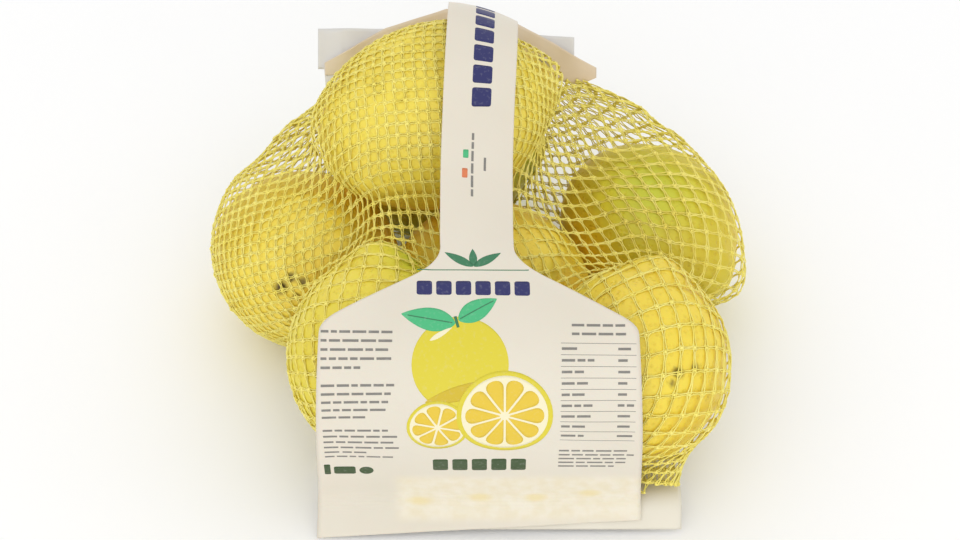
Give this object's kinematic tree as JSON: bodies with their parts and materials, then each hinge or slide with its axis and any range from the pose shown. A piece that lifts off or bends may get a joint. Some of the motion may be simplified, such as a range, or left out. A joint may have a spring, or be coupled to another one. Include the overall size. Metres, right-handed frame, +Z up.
{
  "type": "net of lemons",
  "caption": "Knitted net of lemons lying in a heap, closed against film bands at both ends, with a plain front label that narrows into a strip over the top.",
  "frame": {"origin": "on the floor below the middle of the pack's box", "axes": "+Z up, -Y towards the foot of the label, +X to the right of the label as it is read"},
  "size_m": [0.1908, 0.1909, 0.1215],
  "materials": {
    "lemon_in_net": "waxy dimpled yellow rind under a knitted pale yellow net",
    "label_film": null,
    "band_film": "satin beige film, slightly milky"
  },
  "bodies": {
    "root": {"net_bag": "lemon_in_net", "front_label": "label_film", "top_band": "band_film", "bottom_band": "band_film"}
  },
  "joints": []
}
